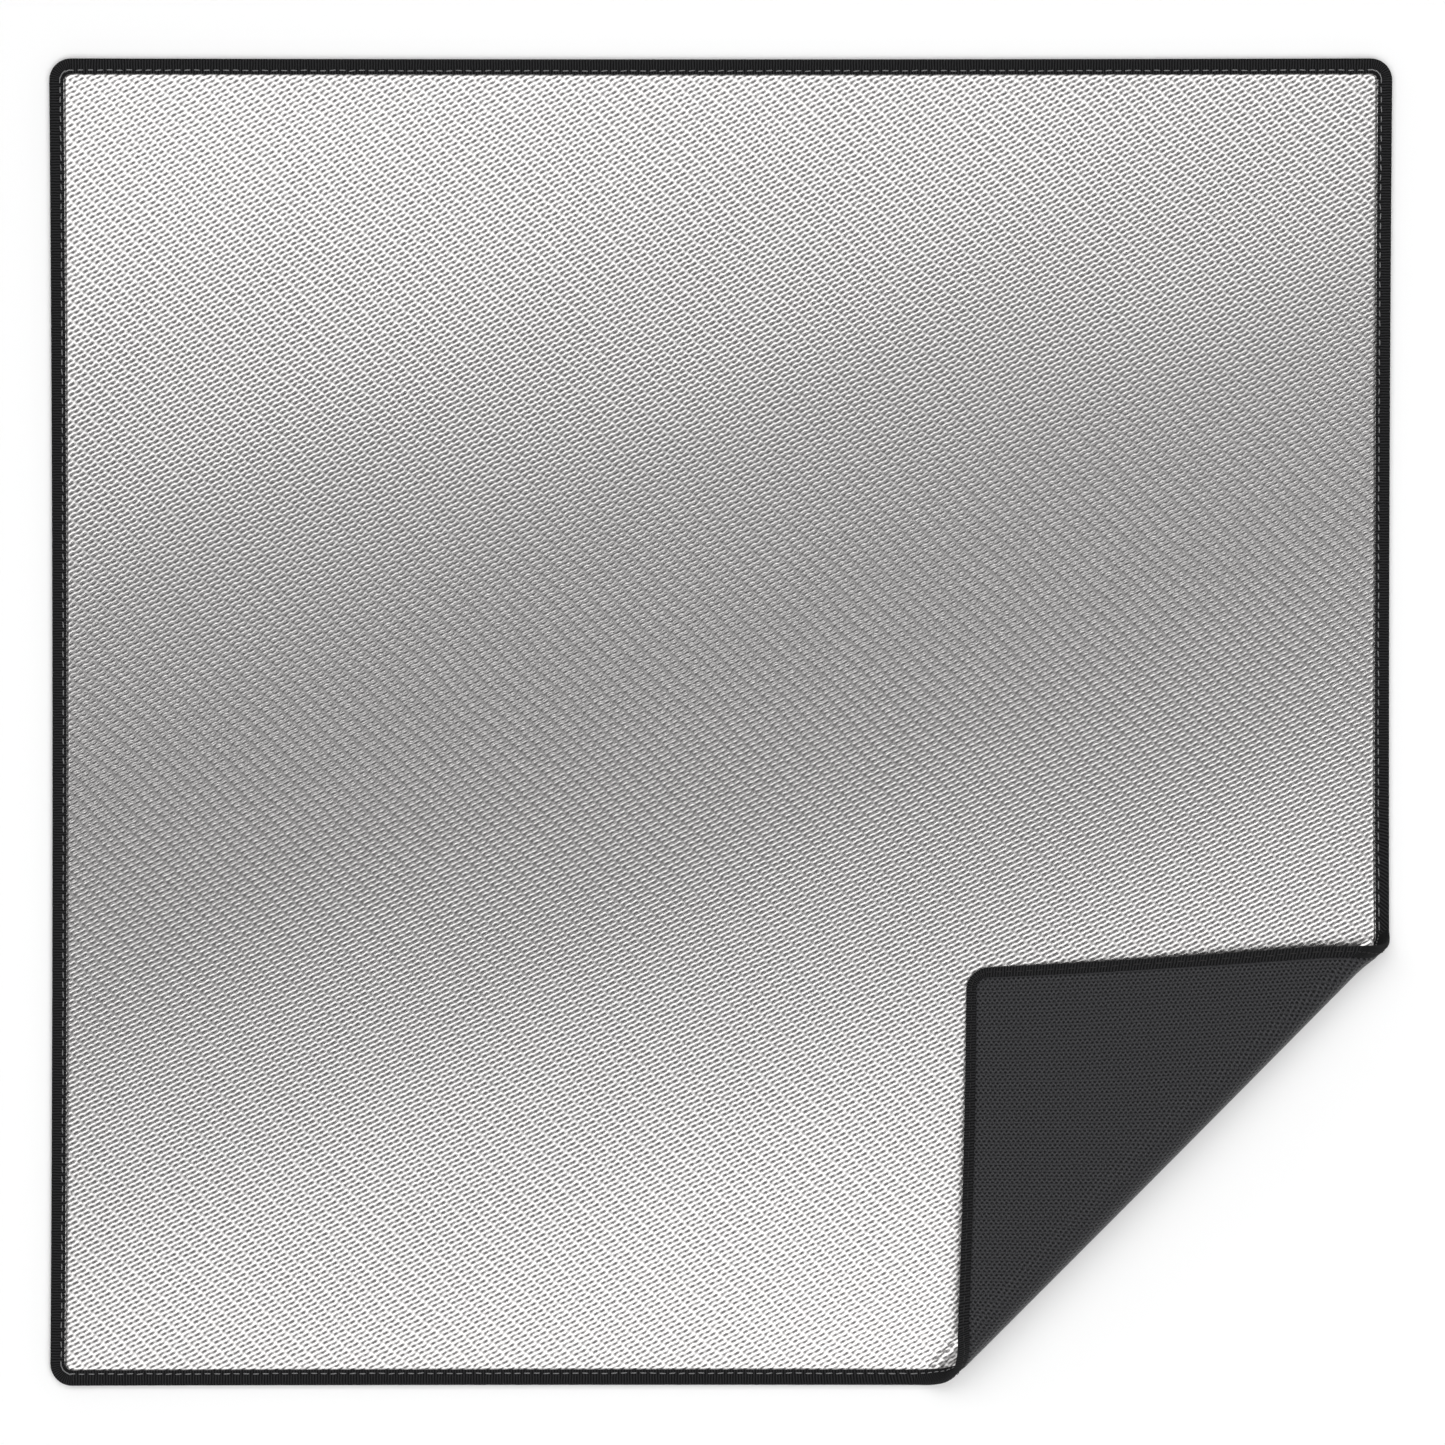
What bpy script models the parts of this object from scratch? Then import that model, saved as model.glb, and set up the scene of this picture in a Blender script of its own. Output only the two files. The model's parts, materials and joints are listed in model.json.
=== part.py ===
"""Ground mat: foil-faced cloth, foam core and textured backing, bound all round, with one corner turned back over its face.

The mat is built flat, the way it is cut and sewn, in metres: X across, Y up the mat and Z from the underside to the foil
face, with the origin at the centre of the underside. Every layer is one whole shape. Lines at 45 degrees then divide it
into the part that lies flat, the strips that bend in the fold, and the corner flap. Each strip and the flap hang from an
empty on their fold line, so that turning the empties back to zero lays the mat flat.
"""
import math

import bmesh
import bpy
from mathutils import Matrix, Vector

# Driving dimensions, metres
WIDTH = 0.914  # along X
DEPTH = 0.904  # along Y
THICKNESS = 0.0048  # from the underside to the foil face, away from the edge
CORNER_RADIUS = 0.015
SMALLEST_RADIUS = 0.001  # for outlines set so far in that the corner's own arc has gone
ARC_STEPS = 5
GAP = 0.0003  # between layers that touch

# Binding tape: folded over the edge, wider on the face than on the back
TAPE = 0.0006
FRONT_LEG = 0.0105
BACK_LEG = 0.0068
RECESS = 0.0006  # the sewing pulls the tape in below the face and the back
EDGE_BEVEL = 0.0010
FRONT_ROW = 0.0081  # inset of the row of stitches on the face
BACK_ROW = 0.0036  # and on the back
THREAD_WIDTH = 0.0009
THREAD_HEIGHT = 0.0003

# Layers
FACE_CLOTH = 0.0004
BACKING = 0.0006
CLOTH_EDGE = 0.0015  # inset of both cloths' cut edges, inside the tape
MARGIN_STEP = 0.0026  # plan width of the slope between margin and middle
FOAM_EDGE = 0.0106  # inset of the foam's thin edge
FOAM_SLOPE = 0.0036
FOAM_LIP = 0.0006

# Fold: the turn is shared by fold lines parallel to the diagonal
STRIPS = 5
STRIP_WIDTH = 0.0115
FIRST_FOLD = 0.4106  # distance of the first fold line from the centre
TURN = math.radians(32.08)  # at each fold line; leaves the flap lying just clear of the face
CUT = 0.0004  # between neighbouring strips
REACH = 0.8  # length that passes any edge of the mat
CLEAR = 0.01  # height that passes the mat's surfaces

OUTWARD = Vector((1, -1, 0)).normalized()  # towards the turned corner
ALONG = Vector((1, 1, 0)).normalized()  # the fold lines' direction
MID = THICKNESS / 2


def material(name, colour, roughness, metallic=0.0):
    made = bpy.data.materials.new(name)
    made.use_nodes = True
    shader = made.node_tree.nodes["Principled BSDF"]
    shader.inputs["Base Color"].default_value = (*colour, 1.0)
    shader.inputs["Roughness"].default_value = roughness
    shader.inputs["Metallic"].default_value = metallic
    made.diffuse_color = (*colour, 1.0)
    return made


def outline(inset, height):
    """The rounded rectangle a given distance inside the mat's edge, counter-clockwise, as points at one height."""
    radius = max(CORNER_RADIUS - inset, SMALLEST_RADIUS)
    x, y = WIDTH / 2 - inset - radius, DEPTH / 2 - inset - radius
    points = []
    for quarter, (sx, sy) in enumerate(((1, 1), (-1, 1), (-1, -1), (1, -1))):
        for step in range(ARC_STEPS + 1):
            angle = (quarter + step / ARC_STEPS) * math.pi / 2
            points.append((sx * x + radius * math.cos(angle), sy * y + radius * math.sin(angle), height))
    return points


def lofted(name, profile, closed):
    """A mesh through the outlines at each (inset, height) of a profile. A closed profile makes a ring that runs round the
    mat; an open one starts at the middle of the underside and ends at the middle of the top, and both ends are filled."""
    shape = bmesh.new()
    rings = [[shape.verts.new(point) for point in outline(*station)] for station in profile]
    pairs = list(zip(rings, rings[1:]))
    if closed:
        pairs.append((rings[-1], rings[0]))
    else:
        shape.faces.new(rings[0])
        shape.faces.new(rings[-1])
    for ring, following in pairs:
        count = len(ring)
        for i in range(count):
            j = (i + 1) % count
            shape.faces.new((ring[i], ring[j], following[j], following[i]))
    bmesh.ops.recalc_face_normals(shape, faces=shape.faces)
    mesh = bpy.data.meshes.new(name)
    shape.to_mesh(mesh)
    shape.free()
    return mesh


def face_cloth():
    """The foil-coated cloth: pressed down under the tape, up at full height inside it."""
    low, high = THICKNESS - RECESS - TAPE - GAP, THICKNESS
    start = FRONT_LEG + GAP
    middle = start + MARGIN_STEP
    return [
        (middle, high - FACE_CLOTH),
        (start, low - FACE_CLOTH),
        (CLOTH_EDGE, low - FACE_CLOTH),
        (CLOTH_EDGE, low),
        (start, low),
        (middle, high),
    ]


def foam_core():
    """The closed-cell foam: cut smaller than the cloths and pinched to a thin lip where they close over it."""
    bottom, top = BACKING + GAP, THICKNESS - FACE_CLOTH - GAP
    lip = MID - FOAM_LIP / 2
    middle = FOAM_EDGE + FOAM_SLOPE
    return [(middle, bottom), (FOAM_EDGE, lip - GAP), (FOAM_EDGE, lip + FOAM_LIP - GAP), (middle, top)]


def backing_sheet():
    """The textured backing: on the ground in the middle, lifted where the tape's back leg passes under it."""
    high = RECESS + TAPE + GAP
    start = BACK_LEG + GAP
    middle = start + MARGIN_STEP
    return [
        (middle, 0.0),
        (start, high),
        (CLOTH_EDGE, high),
        (CLOTH_EDGE, high + BACKING),
        (start, high + BACKING),
        (middle, BACKING),
    ]


def binding_tape():
    """The tape's section: a U folded over the edge, with its outer corners eased."""
    low, high = RECESS, THICKNESS - RECESS
    ease = EDGE_BEVEL
    return [
        (BACK_LEG, low),
        (ease, low),
        (ease * 0.3, low + ease * 0.4),
        (0.0, low + ease),
        (0.0, high - ease),
        (ease * 0.3, high - ease * 0.4),
        (ease, high),
        (FRONT_LEG, high),
        (FRONT_LEG, high - TAPE),
        (ease + TAPE / 3, high - TAPE),
        (TAPE, high - ease - TAPE / 3),
        (TAPE, low + ease + TAPE / 3),
        (ease + TAPE / 3, low + TAPE),
        (BACK_LEG, low + TAPE),
    ]


def thread_row(inset, bottom):
    """A row of stitches as a flat bar along the tape."""
    inner, outer = inset + THREAD_WIDTH / 2, inset - THREAD_WIDTH / 2
    top = bottom + THREAD_HEIGHT
    return [(inner, bottom), (outer, bottom), (outer, top), (inner, top)]


def layers():
    """Each layer's mesh. The second value says whether it runs round the edge only."""
    black = (0.018, 0.018, 0.020)
    grey = (0.45, 0.45, 0.46)
    table = (
        ("face_cloth", face_cloth(), False, ((0.78, 0.79, 0.80), 0.42, 0.85)),
        ("foam_core", foam_core(), False, ((0.10, 0.10, 0.11), 0.85, 0.0)),
        ("backing", backing_sheet(), False, ((0.035, 0.035, 0.038), 0.65, 0.0)),
        ("binding", binding_tape(), True, (black, 0.80, 0.0)),
        ("top_stitching", thread_row(FRONT_ROW, THICKNESS - THREAD_HEIGHT), True, (grey, 0.60, 0.0)),
        ("back_stitching", thread_row(BACK_ROW, 0.0), True, ((0.12, 0.12, 0.125), 0.60, 0.0)),
    )
    made = []
    for name, profile, around, finish in table:
        mesh = lofted(name, profile, around)
        mesh.materials.append(material(name, *finish))
        made.append((name, mesh, around))
    return made


def fold_line(number):
    """A point on fold line 1, 2, ... of the flat mat, at mid-thickness, where its cloths turn about."""
    return OUTWARD * (FIRST_FOLD + (number - 1) * STRIP_WIDTH) + Vector((0, 0, MID))


def hinges():
    """One empty per fold line, each the child of the one before and turned up by its share of the fold."""
    made = []
    for number in range(1, STRIPS + 2):
        empty = bpy.data.objects.new(f"hinge_{number}", None)
        bpy.context.collection.objects.link(empty)
        place = fold_line(number)
        if made:
            empty.parent = made[-1]
            place = place - fold_line(number - 1)
        empty.location = place
        empty.rotation_mode = "QUATERNION"
        empty.rotation_quaternion = Matrix.Rotation(-TURN, 3, ALONG).to_quaternion()
        made.append(empty)
    return made


def hang(obj, hinges_made, number):
    """Puts an object built in the flat mat's place on the hinge of that number. Number 0 is the part that lies flat."""
    if number:
        obj.parent = hinges_made[number - 1]
        obj.location = -fold_line(number)


def wedge(name, start, end, ends):
    """A guide solid between two fold lines, or past the mat on a side with none, that a layer is cut to. Above
    mid-thickness it leans in on each fold line, so that neighbours close to an even gap when the mat is folded."""
    lean = (THICKNESS + CLEAR - MID) * math.tan(TURN / 2)
    low = -REACH if start is None else start + CUT / 2
    high = REACH if end is None else end - CUT / 2
    low_top = low if start is None else low + lean
    high_top = high if end is None else high - lean
    section = (
        (low, -CLEAR),
        (high, -CLEAR),
        (high, MID),
        (high_top, THICKNESS + CLEAR),
        (low_top, THICKNESS + CLEAR),
        (low, MID),
    )
    shape = bmesh.new()
    sides = []
    for end_place in ends:
        at = ALONG * end_place
        sides.append([shape.verts.new(OUTWARD * u + at + Vector((0, 0, z))) for u, z in section])
    for side in sides:
        shape.faces.new(side)
    count = len(section)
    for i in range(count):
        j = (i + 1) % count
        shape.faces.new((sides[0][i], sides[0][j], sides[1][j], sides[1][i]))
    bmesh.ops.recalc_face_normals(shape, faces=shape.faces)
    mesh = bpy.data.meshes.new(name)
    shape.to_mesh(mesh)
    shape.free()
    guide = bpy.data.objects.new(name, mesh)
    guide.hide_render = True
    guide.display_type = "WIRE"
    bpy.context.collection.objects.link(guide)
    return guide


def cut_piece(name, mesh, guide):
    piece = bpy.data.objects.new(name, mesh)
    bpy.context.collection.objects.link(piece)
    cutter = piece.modifiers.new("cut at the fold lines", "BOOLEAN")
    cutter.operation = "INTERSECT"
    cutter.solver = "EXACT"
    cutter.object = guide
    return piece


def build():
    for obj in list(bpy.data.objects):
        bpy.data.objects.remove(obj, do_unlink=True)
    made_layers = layers()
    made_hinges = hinges()
    lines = [FIRST_FOLD + i * STRIP_WIDTH for i in range(STRIPS + 1)]
    bodies = ["mat"] + [f"fold_{i + 1}" for i in range(STRIPS)] + ["flap"]
    for number, (body, start, end) in enumerate(zip(bodies, [None] + lines, lines + [None])):
        strip = start is not None and end is not None
        whole = wedge(f"guide_{body}", start, end, (-REACH, REACH))
        hang(whole, made_hinges, number)
        halves = {}
        if strip:  # the edge crosses a strip twice: at the mat's right side and at its near side
            halves["right"] = wedge(f"guide_{body}_right", start, end, (0.0, REACH))
            halves["near"] = wedge(f"guide_{body}_near", start, end, (-REACH, 0.0))
            for guide in halves.values():
                hang(guide, made_hinges, number)
        for layer, mesh, around in made_layers:
            if strip and around:
                for side, guide in halves.items():
                    hang(cut_piece(f"{body}_{layer}_{side}", mesh, guide), made_hinges, number)
            else:
                hang(cut_piece(f"{body}_{layer}", mesh, whole), made_hinges, number)


build()
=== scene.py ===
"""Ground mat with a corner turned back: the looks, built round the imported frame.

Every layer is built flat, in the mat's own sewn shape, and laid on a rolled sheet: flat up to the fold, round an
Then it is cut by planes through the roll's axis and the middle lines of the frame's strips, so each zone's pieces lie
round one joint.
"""
import json
import math
import random

import bmesh
import bpy
import numpy as np
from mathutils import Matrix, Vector

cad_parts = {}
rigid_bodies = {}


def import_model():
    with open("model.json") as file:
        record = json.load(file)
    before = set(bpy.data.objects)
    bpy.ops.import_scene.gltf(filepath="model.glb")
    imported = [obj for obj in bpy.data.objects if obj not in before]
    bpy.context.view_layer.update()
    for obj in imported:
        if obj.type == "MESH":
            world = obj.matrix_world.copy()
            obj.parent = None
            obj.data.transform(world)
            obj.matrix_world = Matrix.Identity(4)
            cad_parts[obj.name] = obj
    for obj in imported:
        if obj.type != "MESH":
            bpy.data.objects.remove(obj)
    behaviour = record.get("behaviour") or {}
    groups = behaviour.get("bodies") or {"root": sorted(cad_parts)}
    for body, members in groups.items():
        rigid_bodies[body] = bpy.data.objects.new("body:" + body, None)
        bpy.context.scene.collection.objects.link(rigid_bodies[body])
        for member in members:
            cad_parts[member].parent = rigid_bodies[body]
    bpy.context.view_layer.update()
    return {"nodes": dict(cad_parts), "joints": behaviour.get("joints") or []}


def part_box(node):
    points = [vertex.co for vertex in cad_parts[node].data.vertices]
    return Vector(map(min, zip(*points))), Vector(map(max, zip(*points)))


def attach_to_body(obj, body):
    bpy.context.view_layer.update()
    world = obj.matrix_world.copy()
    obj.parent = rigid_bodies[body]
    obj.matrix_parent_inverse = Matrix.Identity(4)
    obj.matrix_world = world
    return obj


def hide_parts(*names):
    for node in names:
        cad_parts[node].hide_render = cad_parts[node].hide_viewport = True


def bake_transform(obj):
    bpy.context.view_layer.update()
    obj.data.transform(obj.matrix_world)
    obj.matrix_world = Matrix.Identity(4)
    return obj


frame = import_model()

# ---- what the frame says ------------------------------------------------------------------------------------------
LOW, HIGH = (Vector(corner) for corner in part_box("mat_binding"))
WIDTH, DEPTH = HIGH.x - LOW.x, HIGH.y - LOW.y
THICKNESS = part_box("mat_face_cloth")[1][2]
MID = THICKNESS / 2
JOINTS = sorted(frame["joints"], key=lambda joint: joint["name"])
ALONG = Vector(JOINTS[0]["axis"]).normalized()  # the fold's direction
OUTWARD = ALONG.cross(Vector((0, 0, 1)))  # towards the turned corner, across the fold
TURN = math.radians(JOINTS[0]["range_deg"][1])  # at each hinge
STRIP = (Vector(JOINTS[1]["pos_m"]) - Vector(JOINTS[0]["pos_m"])).length
RADIUS = STRIP / 2 / math.tan(TURN / 2)  # of the sheet's middle round the fold
FOLD_START = Vector(JOINTS[0]["pos_m"]).dot(OUTWARD) - STRIP / 2
FOLD_TURN = TURN * len(JOINTS)
FOLD_END = FOLD_START + RADIUS * FOLD_TURN
BODIES = [JOINTS[0]["parent"]] + [joint["child"] for joint in JOINTS]

# ---- the mat's own sizes, metres ----------------------------------------------------------------------------------
CORNER = (WIDTH + DEPTH) / 2 / math.sqrt(2)  # from the mat's centre to its corner, across the fold
CORNER_RADIUS = 0.015
FRONT_LEG = 0.0105  # width of the tape on the face
BACK_LEG = 0.0069  # and on the back
TAPE = 0.0006
RECESS = 0.0006  # the tape lies this far below the face
FRONT_ROW, BACK_ROW = 0.0081, 0.0036  # insets of the rows of stitches
STITCH_OUT = 0.00030  # the stitches' middles are this far out from the tape
STITCH_PITCH, STITCH_LENGTH = 0.0066, 0.0046
THREAD = 0.00075
RIB_PITCH = 0.0019
CLOTH, BACKING = 0.0004, 0.0006  # thicknesses of the two cloths
FACE_EDGE, BACKING_EDGE, FOAM_EDGE = 0.0065, 0.0050, 0.0106  # insets of the layers' own edges, under the tape
BOW_X, BOW_Y = 0.0019, 0.0007  # the sides draw in a little at their middles
TAPER = 0.0009  # and the far side is this part wider than the middle
FINE, COARSE = 0.0008, 0.010  # grid steps beside the tape and over the middle
ZONE_STEPS = 8  # divisions of each strip's width round the fold
WELD = 3e-6  # a cut that passes this close to a point goes through it


# ---- the rolled sheet ---------------------------------------------------------------------------------------------
TIGHT_RIGHT, TIGHT_NEAR = 0.013, 0.0055  # how much smaller the roll's radius is at its two ends, seen from above
FLATTER = 0.55  # part of that by which its height shrinks too
BULGE = 0.0045  # the bound edge at the right end stands out from the fold's line,
BULGE_WIDTH, BULGE_FADE = 0.14, 0.7  # over this part of the fold's half length, and loses this part of it over the top
RUN_IN = 0.09  # the flat part gives way to the tighter roll over this length
EASE, SLIP = 0.0036, -0.0034  # the flap's tip lies this far out from, and along, where a tight roll would put it
TIP_LIFT = 0.0012  # and this far up
FLAP_REACH = 0.17  # from the end of the roll to the flap's tip
SETTLE = 0.02  # the flap leaves a flattened roll at a steeper angle, and loses it over this length


def smooth(t):
    t = np.clip(t, 0, 1)
    return t * t * (3 - 2 * t)


def inset_of(x, y):
    """How far inside the mat's rounded outline a point is."""
    dx = np.abs(x) - (WIDTH / 2 - CORNER_RADIUS)
    dy = np.abs(y) - (DEPTH / 2 - CORNER_RADIUS)
    outside = np.hypot(np.maximum(dx, 0), np.maximum(dy, 0))
    return CORNER_RADIUS - outside - np.minimum(np.maximum(dx, dy), 0)


def laid(points):
    """Rest positions of points given on the flat mat as (across the fold, along it, height), and where the rolled
    sheet would have them on the flat mat. The roll is tighter at its ends, so the cloth there is flat for longer,
    turns in less length, and its sides stay straight."""
    u, v, h = points[:, 0], points[:, 1], points[:, 2] - MID
    turn = np.clip((u - FOLD_START) / RADIUS, 0, FOLD_TURN)
    beyond = np.maximum(u - FOLD_END, 0)
    flat = np.minimum(u - FOLD_START, 0)
    half = np.where(v > 0, WIDTH, DEPTH) / math.sqrt(2)
    side = np.clip(v / np.maximum(half - u, 1e-3), -1, 1)  # 1 on the right side, -1 on the near one
    along_fold = v / (half - np.minimum(u, FOLD_END))
    right, near = np.clip(along_fold, 0, 1), np.clip(-along_fold, 0, 1)
    tight = TIGHT_RIGHT * right**1.5 + TIGHT_NEAR * near**2
    lower = FLATTER * tight
    bulge = BULGE * smooth((right - 1 + BULGE_WIDTH) / BULGE_WIDTH) * (1 - BULGE_FADE * smooth(turn / math.pi))
    run_in = np.clip(1 + flat / RUN_IN, 0, 1) ** 3
    wide, high = RADIUS - tight, RADIUS - lower
    shift = (tight + bulge) * run_in
    sine, cosine = np.sin(turn), np.cos(turn)
    down = beyond / FLAP_REACH
    across = FOLD_START + flat + shift + wide * sine + (beyond - EASE * down) * cosine
    up = MID + high * (1 - cosine) + beyond * sine
    steeper = (high / wide - 1) * math.tan(FOLD_TURN)
    up = up - steeper * SETTLE * (1 - np.exp(-beyond / SETTLE)) + TIP_LIFT * down**2
    along = v + (tight * turn - shift) * side + SLIP * down
    size = np.hypot(high * sine, wide * cosine)
    across = across - h * high * sine / size
    up = up + h * wide * cosine / size
    place = np.outer(across, OUTWARD) + np.outer(along, ALONG)
    up_mat = 2 * place[:, 1] / DEPTH
    place[:, 0] *= 1 - BOW_X / (WIDTH / 2) * (1 - up_mat**2) + TAPER * up_mat
    place[:, 1] *= 1 - BOW_Y / (DEPTH / 2) * (1 - (2 * place[:, 0] / WIDTH) ** 2)
    place[:, 2] = up
    unrolled = np.outer(FOLD_START + flat + shift + wide * turn + beyond, OUTWARD) + np.outer(along, ALONG)
    return place, unrolled[:, :2]


def to_fold(x, y):
    """Flat X and Y as distance across the fold and along it."""
    return x * OUTWARD.x + y * OUTWARD.y, x * ALONG.x + y * ALONG.y


def middle_line(number):
    """A point on the middle line of strip 0 (where the flat part ends), 1, 2, ..., at rest."""
    across = FOLD_START + RADIUS * math.sin(TURN * number)
    up = MID + RADIUS * (1 - math.cos(TURN * number))
    return OUTWARD * across + Vector((0, 0, up))


def strip_way(number):
    """The direction in which a strip leads away from the flat part."""
    return OUTWARD * math.cos(TURN * number) + Vector((0, 0, math.sin(TURN * number)))


# ---- from a flat layer to pieces on bodies ------------------------------------------------------------------------
LAST = len(JOINTS) + 1  # the flap's zone; zone 0 is the flat part, and each zone between bends over one hinge
BEFORE_FOLD = 0.05  # no bend's zone reaches further than this before the fold
TOPMOST = THICKNESS + 0.0003  # no layer stands above this
NEAR_PLANE = 0.05  # samples within this angle of a plane, in radians, say how close to the axis it is crossed
MOST_STRAIGHT = 0.49  # part of a zone's width, as its middle has to bend


def round_axis(u, v, h):
    """Where a point of the flat mat is round the roll's axis once it is laid, as an angle and a distance."""
    place = laid(np.column_stack((u, v, h)))[0]
    across, below = place @ np.array(OUTWARD) - FOLD_START, MID + RADIUS - place[:, 2]
    angle = np.arctan2(across, below)
    angle = np.where((angle < 0) & (u > (FOLD_START + FOLD_END) / 2), angle + 2 * math.pi, angle)
    return angle, np.hypot(across, below)


def zone_at(u, v, h):
    """The zone that a point of the flat mat is in once it is laid."""
    return np.clip(np.floor(round_axis(u, v, h)[0] / TURN).astype(int) + 1, 0, LAST)


def flat_samples(step, margin=0.0):
    """Points of the flat mat from just before the fold to the turned corner, as (across the fold, along it)."""
    across = np.arange(FOLD_START - BEFORE_FOLD, CORNER, step)
    along = np.arange(-CORNER, CORNER, step) + step / 2
    u, v = (a.ravel() for a in np.meshgrid(across, along))
    inside = np.abs(v) < CORNER - u - margin * math.sqrt(2)
    return u[inside], v[inside]


def zone_reaches(spare=0.003):
    """The range across the fold that each zone's cloth comes from, with some to spare."""
    u, v = flat_samples(0.002)
    zones = [zone_at(u, v, np.full_like(u, h)) for h in (0.0, THICKNESS)]
    reaches = []
    for zone in range(LAST + 1):
        held = np.concatenate([u[z == zone] for z in zones])
        low, high = held.min() - spare, held.max() + spare
        reaches.append((None if zone == 0 else low, None if zone == LAST else high))
    return reaches


def straight_parts(spare=0.02):
    """The part of a zone's width that stays straight beside each cutting plane. Where the roll is tight the plane
    is crossed close to the axis, and the points there are the first to come within the bend."""
    u, v = flat_samples(0.001)
    angle, distance = round_axis(u, v, np.full_like(u, TOPMOST))
    nearest = [distance[np.abs(angle - TURN * number) < NEAR_PLANE].min() for number in range(LAST)]
    return [min(MOST_STRAIGHT, (1 - d / RADIUS) / 2 + spare) for d in nearest]


REACHES = zone_reaches()
STRAIGHT = straight_parts()


def bisect(part, place, normal, **clear):
    everything = part.verts[:] + part.edges[:] + part.faces[:]
    cut = bmesh.ops.bisect_plane(part, geom=everything, dist=WELD, plane_co=place, plane_no=normal, **clear)
    return cut["geom_cut"]


def crease_lines(shape):
    """Lines along the fold, close enough together for the bends."""
    step = RADIUS * TURN / ZONE_STEPS
    at = REACHES[1][0]
    while at < REACHES[LAST - 1][1]:
        bisect(shape, (at, 0, 0), (1, 0, 0))
        at += step


def lay(part):
    """Lays a flat part on the rolled sheet. A part with no flat coordinates of its own gets its place on the flat
    mat."""
    part.verts.index_update()
    place, unrolled = laid(np.array([v.co[:] for v in part.verts]))
    for point, to in zip(part.verts, place.tolist()):
        point.co = to
    if "Flat" not in part.loops.layers.uv:
        uv = part.loops.layers.uv.new("Flat")
        flat = unrolled.tolist()
        for face in part.faces:
            for loop in face.loops:
                loop[uv].uv = flat[loop.vert.index]


def close_strip(part, rim):
    """Fills a sheet's cut end, one long thin loop, with triangles between its two long sides."""
    beside = {}
    for edge in rim:
        for point in edge.verts:
            beside.setdefault(point, []).append(edge.other_vert(point))
    along = {point: point.co.dot(ALONG) for point in beside}
    first, last = min(along, key=along.get), max(along, key=along.get)
    sides = []
    for point in beside[first]:
        side, before = [], first
        while point is not last:
            side.append(point)
            before, point = point, next(other for other in beside[point] if other is not before)
        sides.append(side)
    (a, b), i, j = sides, 0, 0
    part.faces.new((first, a[0], b[0]))
    while i + 1 < len(a) or j + 1 < len(b):
        if j + 1 == len(b) or (i + 1 < len(a) and along[a[i + 1]] < along[b[j + 1]]):
            part.faces.new((a[i], a[i + 1], b[j]))
            i += 1
        else:
            part.faces.new((a[i], b[j + 1], b[j]))
            j += 1
    part.faces.new((last, a[-1], b[-1]))


def close_rings(part, rim):
    """Fills any other cut ends."""
    ends = bmesh.ops.holes_fill(part, edges=rim, sides=0)["faces"]
    bmesh.ops.triangulate(part, faces=ends, ngon_method="BEAUTY")


def cut_zone(shape, zone, close):
    """A laid copy of what is in a zone of a flat layer, with its cut ends filled."""
    part = shape.copy()
    for limit, side in zip(REACHES[zone], ("clear_inner", "clear_outer")):
        if limit is not None:
            bisect(part, (limit, 0, 0), (1, 0, 0), **{side: True})
    lay(part)
    for number, side in ((zone - 1, "clear_inner"), (zone, "clear_outer")):
        if 0 <= number < LAST:
            cut = bisect(part, middle_line(number), strip_way(number), **{side: True})
            rim = [e for e in cut if isinstance(e, bmesh.types.BMEdge) and e.is_boundary]
            close(part, rim)
    return part


def finished(name, part, material, sharp=45):
    """Makes a laid part an object."""
    bmesh.ops.recalc_face_normals(part, faces=part.faces)
    mesh = bpy.data.meshes.new(name)
    part.to_mesh(mesh)
    part.free()
    mesh.materials.append(material)
    mesh.shade_smooth()
    mesh.set_sharp_from_angle(angle=math.radians(sharp))
    mesh.update()
    piece = bpy.data.objects.new(name, mesh)
    bpy.context.scene.collection.objects.link(piece)
    return piece


def attach(piece, zone):
    """Puts the flat part's piece on the first body and the flap's on the last; a bend's piece keeps its laid place,
    with its transform baked and no body.
    """
    if zone == 0:
        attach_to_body(piece, BODIES[0])
    elif zone == LAST:
        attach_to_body(piece, BODIES[-1])
    else:
        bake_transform(piece)
    return piece


def zone_name(zone):
    if zone == 0:
        return "flat"
    return "flap" if zone == LAST else f"bend_{zone}"


def in_zones(shape, name, material, nodes, close=close_strip):
    """Cuts a flat layer into its zones' pieces. nodes is what follows the body's name in the frame's nodes."""
    crease_lines(shape)
    pieces = []
    for zone in range(LAST + 1):
        part = cut_zone(shape, zone, close)
        piece = attach(finished(f"{name}_{zone_name(zone)}", part, material), zone)
        stand_for(zone, nodes)
        pieces.append(piece)
    shape.free()
    return pieces


def stand_for(zone, layer):
    """A zone's piece replaces the strip that it ends on. The last bend shares the flap, which replaces its own
    nodes."""
    if zone == len(JOINTS):
        return
    body = BODIES[-1] if zone == LAST else BODIES[zone]
    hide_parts(*[n for n in frame["nodes"] if n.startswith(f"{body}_{layer}")])


# ---- cloths and foam ----------------------------------------------------------------------------------------------
def grid_lines(half, start, leg):
    """Positions across the mat for a sheet's grid: close together at the tape's edge, wider away from it."""
    steps = [start, (start + leg) / 2]
    steps += [leg + FINE * k for k in (-1.5, -0.5, 0.25, 1, 2, 3.5, 6, 10, 16, 24)]
    inner = half - steps[-1]
    count = max(2, round(2 * inner / COARSE))
    middle = [-inner + 2 * inner * i / count for i in range(1, count)]
    side = [half - s for s in steps]
    return [-s for s in side] + middle + side[::-1]


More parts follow.
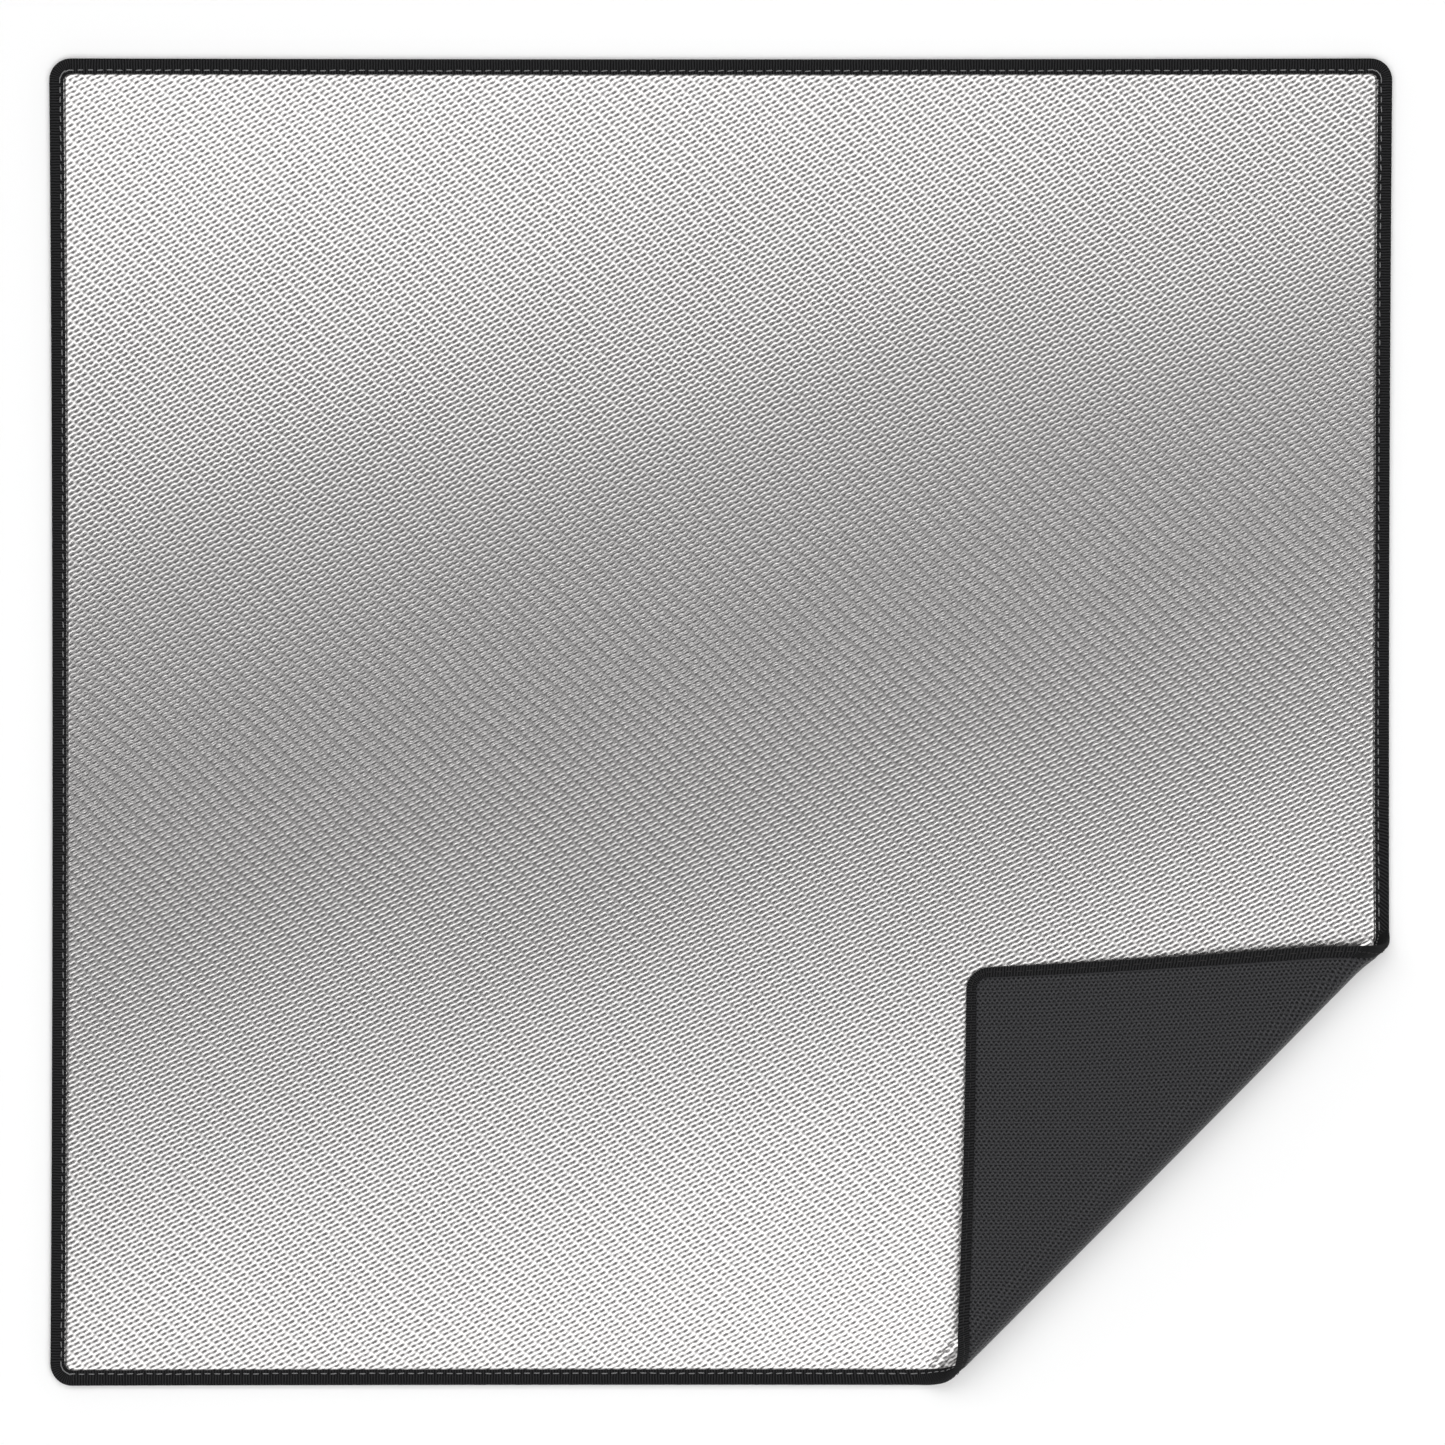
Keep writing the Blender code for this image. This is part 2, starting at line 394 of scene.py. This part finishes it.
def sheet_shape(start, leg, bottom, top):
    """A closed thin sheet with its edge at an inset of start, under a tape that reaches in by leg. bottom and top
    give a height for each inset and place."""
    xs, ys = grid_lines(WIDTH / 2, start, leg), grid_lines(DEPTH / 2, start, leg)
    x, y = (a.ravel() for a in np.meshgrid(xs, ys, indexing="ij"))
    inset = inset_of(x, y)
    u, v = to_fold(x, y)
    shape = bmesh.new()
    low = [shape.verts.new(point) for point in zip(u, v, bottom(inset, x, y))]
    high = [shape.verts.new(point) for point in zip(u, v, top(inset, x, y))]
    rows, columns = len(xs), len(ys)
    quads = []
    for i in range(rows - 1):
        for j in range(columns - 1):
            a, d = i * columns + j, i * columns + j + 1
            b, c = a + columns, d + columns
            quads.append((high[a], high[b], high[c], high[d]))
            quads.append((low[d], low[c], low[b], low[a]))
    rim = [i * columns for i in range(rows)]
    rim += [(rows - 1) * columns + j for j in range(1, columns)]
    rim += [i * columns + columns - 1 for i in range(rows - 2, -1, -1)]
    rim += list(range(columns - 2, 0, -1))
    for a, b in zip(rim, rim[1:] + rim[:1]):
        quads.append((low[a], low[b], high[b], high[a]))
    for quad in quads:
        shape.faces.new(quad)
    return shape


def rise(value, start, width):
    t = np.clip((value - start) / width, 0, 1)
    return t * (2 - t)


def unevenness(x, y):
    """The slow waves of a sheet that doesn't lie dead flat."""
    return (
        np.sin(17 * x + 5 * y + 0.4) * np.sin(13 * y - 4 * x + 1.3)
        + 0.6 * np.sin(31 * x - 11 * y + 2.0) * np.sin(27 * y + 7 * x)
    )


UNEVEN = 0.00012  # height of those waves
TUCKED = THICKNESS - RECESS - TAPE - 0.0002  # the face under the tape


def face_top(inset, x, y):
    height = TUCKED + (THICKNESS - TUCKED) * rise(inset, FRONT_LEG - 0.0004, 0.0016)
    return height + UNEVEN * unevenness(x, y) * rise(inset, FRONT_LEG, 0.03)


def face_bottom(inset, x, y):
    return face_top(inset, x, y) - CLOTH


def back_bottom(inset, x, y):
    tucked = RECESS + TAPE + 0.0001
    return tucked * (1 - rise(inset, BACK_LEG - 0.0003, 0.0020))


def back_top(inset, x, y):
    return back_bottom(inset, x, y) + BACKING


def foam_bottom(inset, x, y):
    return np.full_like(x, BACKING + 0.0002) + 0.0011 * (1 - rise(inset, FOAM_EDGE, 0.004))


def foam_top(inset, x, y):
    return np.full_like(x, THICKNESS - CLOTH - 0.0004) - 0.0015 * (1 - rise(inset, FOAM_EDGE, 0.004))


# ---- binding tape and stitches ------------------------------------------------------------------------------------
def perimeter(step):
    """Stations round the mat's outline, counter-clockwise from the upper end of the right side: the point on the
    outline, its outward normal and the distance along."""
    x, y = WIDTH / 2 - CORNER_RADIUS, DEPTH / 2 - CORNER_RADIUS
    runs = []
    arc = CORNER_RADIUS * math.pi / 2
    for quarter, (sx, sy) in enumerate(((1, 1), (-1, 1), (-1, -1), (1, -1))):
        start = quarter * math.pi / 2
        runs.append(("arc", (sx * x, sy * y), start, arc))
        runs.append(("side", (sx * x, sy * y), start + math.pi / 2, 2 * (x if quarter % 2 == 0 else y)))
    stations, along = [], 0.0
    for kind, centre, angle, length in runs:
        count = max(1, round(length / step))
        for i in range(count):
            t = i / count
            if kind == "arc":
                facing = angle + t * math.pi / 2
                base = Vector(centre) + CORNER_RADIUS * Vector((math.cos(facing), math.sin(facing)))
            else:
                facing = angle
                way = Vector((-math.sin(facing), math.cos(facing)))
                base = Vector(centre) + CORNER_RADIUS * Vector((math.cos(facing), math.sin(facing)))
                base += way * length * t
            stations.append((base, Vector((math.cos(facing), math.sin(facing))), along + length * t))
        along += length
    return stations, along


def tape_section():
    """The folded tape's section as (inset, height, pull), outside first, from the back leg's edge round to the front
    leg's edge and back along the inside. pull says how much of a stitch's dimple a point takes."""
    low, high = RECESS, THICKNESS - RECESS
    puff = 0.00025
    outside = [
        (BACK_LEG, low + TAPE * 0.4, 0),
        (BACK_LEG - 0.0003, low - 0.00005, 0),
        (BACK_LEG - 0.0012, low - puff * 0.6, 0.1),
        (BACK_ROW + 0.0010, low - puff * 0.3, 0.5),
        (BACK_ROW, low + 0.00015, -1.0),
        (BACK_ROW - 0.0010, low - puff * 0.4, 0.5),
        (0.0014, low - puff * 0.5, 0),
        (0.0006, low + 0.0002, 0),
        (0.00015, low + 0.0008, 0),
        (0.0, MID, 0),
        (0.00015, high - 0.0008, 0),
        (0.0006, high - 0.0002, 0),
        (0.0014, high + puff * 0.6, 0),
        (0.0028, high + puff, 0),
        (0.0046, high + puff, 0),
        (0.0062, high + puff * 0.7, 0.1),
        (FRONT_ROW - 0.0010, high + puff * 0.2, 0.5),
        (FRONT_ROW, high - 0.00020, 1.0),
        (FRONT_ROW + 0.0009, high + puff * 0.1, 0.4),
        (FRONT_LEG - 0.0008, high + puff * 0.3, 0),
        (FRONT_LEG - 0.0002, high + 0.00002, 0),
        (FRONT_LEG, high - TAPE * 0.4, 0),
    ]
    inside = [
        (FRONT_LEG - 0.0002, high - TAPE, 0),
        (FRONT_ROW, high - TAPE - 0.0002, 0),
        (0.0030, high - TAPE, 0),
        (0.0013, high - TAPE - 0.0001, 0),
        (TAPE, high - 0.0013, 0),
        (TAPE, low + 0.0013, 0),
        (0.0013, low + TAPE + 0.0001, 0),
        (BACK_ROW, low + TAPE + 0.0001, 0),
        (BACK_LEG - 0.0002, low + TAPE, 0),
    ]
    return outside + inside


PLEAT = 0.017  # length of a tuck


def pleat(base, facing, inset):
    """Height of the tuck where the tape is folded over itself just past each corner, along the far and near
    sides."""
    if abs(facing.y) < 0.99:
        return 0.0
    from_corner = WIDTH / 2 - CORNER_RADIUS - abs(base.x) - inset * 0.7
    if not 0 < from_corner < PLEAT:
        return 0.0
    edge = min(1.0, from_corner / 0.0009)
    return 0.0005 * edge * (1 - from_corner / PLEAT) ** 0.7


def leg_width(facing):
    """The tape covers a little less of the face along the left and right sides."""
    return 1 - 0.065 * facing.x * facing.x


def tape_shape():
    stations, around = perimeter(STITCH_PITCH / 3)
    section = tape_section()
    shape = bmesh.new()
    uv = shape.loops.layers.uv.new("Flat")
    across = [0.0]
    for (a, ah, _), (b, bh, _) in zip(section, section[1:] + section[:1]):
        across.append(across[-1] + math.hypot(a - b, ah - bh))
    rings = []
    for base, facing, along in stations:
        phase = math.cos(2 * math.pi * along / STITCH_PITCH)
        ring = []
        for inset, height, pull in section:
            place = base - facing * (inset * leg_width(facing) if height > MID else inset)
            lift = 0.00012 * pull * phase
            if height > MID and inset < FRONT_LEG:
                lift += pleat(base, facing, inset)
            u, v = to_fold(place.x, place.y)
            ring.append(shape.verts.new((u, v, height + lift)))
        rings.append(ring)
    count = len(section)
    for i, ring in enumerate(rings):
        following = rings[(i + 1) % len(rings)]
        start = stations[i][2]
        end = stations[i + 1][2] if i + 1 < len(stations) else around
        for j in range(count):
            k = (j + 1) % count
            face = shape.faces.new((ring[j], following[j], following[k], ring[k]))
            corners = ((start, across[j]), (end, across[j]), (end, across[j + 1]), (start, across[j + 1]))
            for loop, corner in zip(face.loops, corners):
                loop[uv].uv = corner
    return shape


STITCH_RINGS, STITCH_SIDES = 7, 6


def stitch(shape, uv, base, facing, inset, height, lean, front):
    """One stitch: a short length of thread that comes up from its hole, crosses the tape and goes down again."""
    way = Vector((-facing.y, facing.x))
    side = 1 if front else -1
    rings = []
    for i in range(STITCH_RINGS):
        t = i / (STITCH_RINGS - 1) * 2 - 1
        along = t * STITCH_LENGTH / 2
        thick = THREAD / 2 * math.sqrt(max(0.02, 1 - abs(t) ** 5))
        middle = base + way * along - facing * (inset + lean * t)
        arch = height + side * (0.0001 - 0.0005 * t * t)
        ring = []
        for k in range(STITCH_SIDES):
            angle = 2 * math.pi * k / STITCH_SIDES
            out = middle + facing * math.cos(angle) * thick
            u, v = to_fold(out.x, out.y)
            ring.append(shape.verts.new((u, v, arch + math.sin(angle) * thick * 0.7)))
        rings.append(ring)
    for i, (ring, following) in enumerate(zip(rings, rings[1:])):
        for k in range(STITCH_SIDES):
            j = (k + 1) % STITCH_SIDES
            face = shape.faces.new((ring[k], ring[j], following[j], following[k]))
            for loop, (a, b) in zip(face.loops, ((i, k), (i, k + 1), (i + 1, k + 1), (i + 1, k))):
                loop[uv].uv = (a * STITCH_LENGTH / STITCH_RINGS, b * THREAD / 2)
    shape.faces.new(rings[0])
    shape.faces.new(rings[-1])


def stitch_rows(name, inset, height, front, material, layer):
    """A row of stitches round the mat, in one piece for each zone. A stitch goes whole to the zone that its middle
    is in."""
    stations, around = perimeter(STITCH_PITCH)
    draw = random.Random(7 if front else 11)
    shapes = [bmesh.new() for _ in range(LAST + 1)]
    layers = [shape.loops.layers.uv.new("Flat") for shape in shapes]
    for base, facing, _ in stations:
        row = inset * leg_width(facing) if front else inset
        middle = base - facing * row
        u, v = to_fold(middle.x, middle.y)
        zone = int(zone_at(np.array([u]), np.array([v]), np.array([height]))[0])
        lean = draw.uniform(-0.00015, 0.0003)
        raised = height + draw.uniform(-0.00005, 0.00005)
        wander = row + draw.uniform(-0.0002, 0.0002)
        stitch(shapes[zone], layers[zone], base, facing, wander, raised, lean, front)
    pieces = []
    for zone, shape in enumerate(shapes):
        lay(shape)
        piece = attach(finished(f"{name}_{zone_name(zone)}", shape, material, sharp=80), zone)
        stand_for(zone, layer)
        pieces.append(piece)
    return pieces


# ---- materials ----------------------------------------------------------------------------------------------------
class Nodes:
    """Short words for building a material's nodes."""

    def __init__(self, name):
        self.material = bpy.data.materials.new(name)
        self.material.use_nodes = True
        self.tree = self.material.node_tree
        self.shader = self.tree.nodes["Principled BSDF"]

    def node(self, kind, **inputs):
        made = self.tree.nodes.new(kind)
        for key, value in inputs.items():
            self.feed(made.inputs[key.replace("_", " ")], value)
        return made

    def feed(self, socket, value):
        if isinstance(value, bpy.types.NodeSocket):
            self.tree.links.new(value, socket)
        else:
            socket.default_value = value

    def math(self, operation, a, b=0.0, c=0.0):
        made = self.tree.nodes.new("ShaderNodeMath")
        made.operation = operation
        for socket, value in zip(made.inputs, (a, b, c)):
            self.feed(socket, value)
        return made.outputs[0]

    def flat(self):
        """The piece's own flat coordinates, in metres."""
        made = self.tree.nodes.new("ShaderNodeUVMap")
        made.uv_map = "Flat"
        return made.outputs[0]

    def phase(self, vector, waves):
        """2 pi times the waves that lie between the origin and a point, for a wave of so many per metre in X and Y."""
        made = self.tree.nodes.new("ShaderNodeVectorMath")
        made.operation = "DOT_PRODUCT"
        self.feed(made.inputs[0], vector)
        made.inputs[1].default_value = (2 * math.pi * waves[0], 2 * math.pi * waves[1], 0)
        return made.outputs["Value"]

    def noise(self, vector, scale, detail=2.0, roughness=0.5):
        made = self.node("ShaderNodeTexNoise", Scale=scale, Detail=detail, Roughness=roughness)
        self.feed(made.inputs["Vector"], vector)
        return made.outputs["Fac"]

    def ramp(self, value, low, high, to_low, to_high):
        made = self.tree.nodes.new("ShaderNodeMapRange")
        made.clamp = True
        ends = {"From Min": low, "From Max": high, "To Min": to_low, "To Max": to_high}
        for key, given in {"Value": value, **ends}.items():
            self.feed(made.inputs[key], given)
        return made.outputs[0]

    def mix(self, share, a, b):
        made = self.tree.nodes.new("ShaderNodeMix")
        made.data_type = "RGBA"
        self.feed(made.inputs["Factor"], share)
        for key, colour in ((6, a), (7, b)):
            self.feed(made.inputs[key], (*colour, 1.0) if isinstance(colour, tuple) else colour)
        return made.outputs[2]

    def bump(self, height, distance):
        made = self.node("ShaderNodeBump", Height=height, Distance=distance, Strength=1.0)
        return made.outputs[0]

    def shade(self, colour, roughness, normal=None, **fixed):
        self.feed(self.shader.inputs["Base Color"], (*colour, 1.0) if isinstance(colour, tuple) else colour)
        self.feed(self.shader.inputs["Roughness"], roughness)
        if normal is not None:
            self.feed(self.shader.inputs["Normal"], normal)
        for key, value in fixed.items():
            self.shader.inputs[key.replace("_", " ")].default_value = value
        return self.material


# The twill's two repeats, in waves per metre across and up the mat
TWILL_A = (68.0, 74.0)
TWILL_B = (25.7, -193.0)
TWILL_WAVES = (  # multiples of the two repeats, strength and phase of each wave in the weave's surface
    (1, 2, 1.0, 0.0),
    (2, 2, 0.7, 0.0),
    (3, 2, 0.65, math.pi),
    (2, 0, 0.4, 1.1),
    (1, -1, 0.3, 0.9),
    (0, 1, 0.2, 2.0),
    (4, 0, 0.2, 1.1),
)


def foil_cloth():
    """Woven glass cloth with an aluminium coat: bright floats in a twill. Where the threads dip the colour goes dark:
    partly the dark spaces between the yarns, partly painted shade in the weave's grooves.
    """
    n = Nodes("foil_cloth")
    flat = n.flat()
    drift = n.noise(flat, 14.0, 1.0)
    a = n.math("ADD", n.phase(flat, TWILL_A), n.math("MULTIPLY", drift, 5.0))
    b = n.math("ADD", n.phase(flat, TWILL_B), n.math("MULTIPLY", drift, -3.0))
    height = None
    for times_a, times_b, strength, phase in TWILL_WAVES:
        angle = n.math("ADD", n.math("MULTIPLY_ADD", a, times_a, phase), n.math("MULTIPLY", b, times_b))
        wave = n.math("MULTIPLY", n.math("COSINE", angle), strength)
        height = wave if height is None else n.math("ADD", height, wave)
    height = n.math("ADD", height, n.math("MULTIPLY_ADD", n.noise(flat, 420.0, 2.0), 2.0, -1.0))
    # painted shade: the colour darkens with the weave's depth, partly the real dark spaces between the yarns
    gaps_and_groove_shade = n.ramp(height, -1.8, 1.0, 0.0, 1.0)
    colour = n.mix(gaps_and_groove_shade, (0.11, 0.107, 0.107), (0.76, 0.745, 0.74))
    roughness = n.ramp(height, -2.0, 2.0, 0.26, 0.15)
    normal = n.bump(height, 0.000018)
    return n.shade(colour, roughness, normal, Metallic=0.92)


def backing_cloth():
    """Knitted, rubbery backing: rows of small pits with arches between them. The colour follows the height, so painted
    shade makes the pits near-black, and the fine grain is the cloth's own uneven tone.
    """
    n = Nodes("backing_cloth")
    flat = n.flat()
    drift = n.math("MULTIPLY_ADD", n.noise(flat, 60.0, 1.0), 1.6, -0.8)
    loops = n.math("ADD", n.phase(flat, (0.0, 1 / 0.00334)), drift)
    rows = n.math("ADD", n.phase(flat, (1 / 0.0048, 0.0)), n.math("MULTIPLY", drift, 0.6))
    pits = n.math("MULTIPLY", n.math("COSINE", loops), n.math("COSINE", rows))
    sway = n.math("MULTIPLY", n.math("COSINE", loops), 0.9)
    arches = n.math("COSINE", n.math("ADD", n.math("MULTIPLY", rows, 2.0), sway))
    pits = n.math("ADD", pits, n.math("MULTIPLY", arches, 0.55))
    grain = n.math("MULTIPLY_ADD", n.noise(flat, 1100.0, 2.0), 4.4, -2.2)
    height = n.math("SUBTRACT", grain, pits)
    # painted shade: the colour falls to near-black in the knit's pits, its low places
    colour = n.mix(n.ramp(height, -1.2, 1.9, 0.0, 1.0), (0.001, 0.001, 0.0012), (0.074, 0.074, 0.079))
    normal = n.bump(height, 0.00013)
    return n.shade(colour, 0.33, normal, Specular_IOR_Level=0.10)


def ribbed_tape():
    """Grosgrain tape: close ribs across its width, slightly uneven. The colour darkens between the ribs as painted
    shade, and the fine fuzz is the tape's own uneven tone.
    """
    n = Nodes("ribbed_tape")
    flat = n.flat()
    wander = n.math("MULTIPLY_ADD", n.noise(flat, 220.0, 2.0), 3.0, -1.5)
    ribs = n.math("COSINE", n.math("ADD", n.phase(flat, (1 / RIB_PITCH, 0.0)), wander))
    fuzz = n.math("MULTIPLY_ADD", n.noise(flat, 1500.0, 3.0), 2.2, -1.1)
    height = n.math("ADD", ribs, fuzz)
    # painted shade: the colour darkens between the ribs, in the tape's low places
    colour = n.mix(n.ramp(height, -1.0, 2.0, 0.0, 1.0), (0.0012, 0.0012, 0.0014), (0.038, 0.038, 0.040))
    normal = n.bump(height, 0.00022)
    return n.shade(colour, 0.8, normal, Specular_IOR_Level=0.12)


def thread(name, colour, dark):
    """Twisted polyester thread. The colour darkens in the twist's grooves as painted shade, with noise for the
    thread's own uneven tone.
    """
    n = Nodes(name)
    flat = n.flat()
    twist = n.math("SINE", n.phase(flat, (1 / 0.0009, 1 / 0.0011)))
    worn = n.noise(flat, 300.0, 2.0)
    # painted shade: the colour darkens in the twist's grooves; the noise is the thread's own uneven tone
    tone = n.mix(n.ramp(n.math("ADD", twist, worn), -0.6, 1.5, 0.0, 1.0), dark, colour)
    return n.shade(tone, 0.6, n.bump(twist, 0.00006), Specular_IOR_Level=0.3)


def cell_foam():
    """Closed-cell foam: fine cells, dull."""
    n = Nodes("cell_foam")
    flat = n.flat()
    cells = n.noise(flat, 1200.0, 3.0)
    colour = n.mix(cells, (0.03, 0.03, 0.032), (0.09, 0.09, 0.095))
    return n.shade(colour, 0.9, n.bump(cells, 0.0002))


# ---- the pieces ---------------------------------------------------------------------------------------------------
def build_mat():
    foil, back, tape = foil_cloth(), backing_cloth(), ribbed_tape()
    grey = thread("grey_thread", (0.38, 0.38, 0.385), (0.06, 0.06, 0.062))
    black = thread("black_thread", (0.026, 0.024, 0.025), (0.006, 0.006, 0.006))
    made = {}
    shape = sheet_shape(FACE_EDGE, FRONT_LEG, face_bottom, face_top)
    made["face"] = in_zones(shape, "face_cloth", foil, "face_cloth")
    shape = sheet_shape(BACKING_EDGE, BACK_LEG, back_bottom, back_top)
    made["backing"] = in_zones(shape, "backing", back, "backing")
    shape = sheet_shape(FOAM_EDGE, 0.0135, foam_bottom, foam_top)
    made["foam"] = in_zones(shape, "foam_core", cell_foam(), "foam_core")
    made["tape"] = in_zones(tape_shape(), "binding", tape, "binding", close_rings)
    front, rear = THICKNESS - RECESS + STITCH_OUT, RECESS - STITCH_OUT
    made["front"] = stitch_rows("top_stitches", FRONT_ROW, front, True, grey, "top_stitching")
    made["rear"] = stitch_rows("back_stitches", BACK_ROW, rear, False, black, "back_stitching")
    return made


def zone_areas(margin):
    """Flat area of a cloth in each zone."""
    step = 0.001
    u, v = flat_samples(step, margin)
    counts = np.bincount(zone_at(u, v, np.full_like(u, MID)), minlength=LAST + 1)
    areas = [float(count) * step * step for count in counts]
    areas[0] = (WIDTH - 2 * margin) * (DEPTH - 2 * margin) - sum(areas[1:])
    return areas


def declare_sheets(made):
    """Goes over the two cloths' pieces with their zones' flat areas, and does nothing with them."""
    for layer, margin in (("face", FACE_EDGE), ("backing", BACKING_EDGE)):
        for zone, (piece, area) in enumerate(zip(made[layer], zone_areas(margin))):
            if zone == 0:
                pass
            elif zone == LAST:
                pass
            else:
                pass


# ---- floor, light and camera --------------------------------------------------------------------------------------
FLOOR_DROP = 0.0004  # the floor is this far below the mat


def build_floor():
    mesh = bpy.data.meshes.new("floor")
    reach = 6.0
    corners = [(-reach, -reach, 0), (reach, -reach, 0), (reach, reach, 0), (-reach, reach, 0)]
    mesh.from_pydata(corners, [], [(0, 1, 2, 3)])
    mesh.materials.append(Nodes("floor").shade((0.98, 0.98, 0.98), 0.9))
    floor = bpy.data.objects.new("floor", mesh)
    floor.location.z = -FLOOR_DROP
    bpy.context.scene.collection.objects.link(floor)


def softbox(name, place, heading, size, radiance):
    """A rectangular light that faces straight down. radiance is how bright its face looks, with a white floor under
    full light at 1."""
    light = bpy.data.lights.new(name, "AREA")
    light.shape = "RECTANGLE"
    light.size, light.size_y = size
    light.energy = radiance * math.pi * size[0] * size[1]
    box = bpy.data.objects.new(name, light)
    box.location = place
    box.rotation_euler = (0, 0, heading)
    bpy.context.scene.collection.objects.link(box)


LIGHT_HEIGHT = 3.4
GAP = 0.36  # half the gap between the two softboxes, which the face reflects as a darker band
GAP_CENTRE, GAP_TILT = 0.06, math.radians(11)
BOX_SIZE = (6.0, 3.0)
BOX_RADIANCE = 1.8
STRIP_PLACE, STRIP_SIZE, STRIP_RADIANCE = (1.03, -1.03, 3.3), (1.6, 0.3), 7.0  # a strip light parallel to the fold


WALLS, CEILING = 1.0, 0.06  # brightness of the room beyond the softboxes


def build_room():
    """A world that is white round the walls and dim overhead, where the softboxes are."""
    world = bpy.data.worlds.new("studio")
    world.use_nodes = True
    tree = world.node_tree
    way = tree.nodes.new("ShaderNodeTexCoord")
    parts = tree.nodes.new("ShaderNodeSeparateXYZ")
    fall = tree.nodes.new("ShaderNodeMapRange")
    tree.links.new(way.outputs["Generated"], parts.inputs[0])
    tree.links.new(parts.outputs["Z"], fall.inputs["Value"])
    for key, value in (("From Min", 0.1), ("From Max", 0.6), ("To Min", WALLS), ("To Max", CEILING)):
        fall.inputs[key].default_value = value
    tree.nodes["Background"].inputs["Color"].default_value = (1, 1, 1, 1)
    tree.links.new(fall.outputs[0], tree.nodes["Background"].inputs["Strength"])
    bpy.context.scene.world = world


def build_light():
    build_room()
    way = Vector((-math.sin(GAP_TILT), math.cos(GAP_TILT), 0))
    centre = Vector((0, GAP_CENTRE, LIGHT_HEIGHT))
    for name, side in (("far_softbox", 1), ("near_softbox", -1)):
        place = centre + way * side * (GAP + BOX_SIZE[1] / 2)
        softbox(name, place, GAP_TILT, BOX_SIZE, BOX_RADIANCE)
    softbox("fold_light", STRIP_PLACE, math.radians(45), STRIP_SIZE, STRIP_RADIANCE)


CAMERA_HEIGHT = 5.0
VIEW_WIDTH = 0.9835  # of the mat's plane that fits in the picture
VIEW_CENTRE = (0.0012, -0.0003)


def build_camera():
    camera = bpy.data.cameras.new("camera")
    camera.sensor_width = 36
    camera.lens = 36 * (CAMERA_HEIGHT - THICKNESS) / VIEW_WIDTH
    camera.clip_end = 50
    eye = bpy.data.objects.new("camera", camera)
    eye.location = (*VIEW_CENTRE, CAMERA_HEIGHT)
    bpy.context.scene.collection.objects.link(eye)
    bpy.context.scene.camera = eye


build_camera()
made = build_mat()
declare_sheets(made)
build_floor()
build_light()
bpy.context.scene.view_settings.view_transform = "Standard"
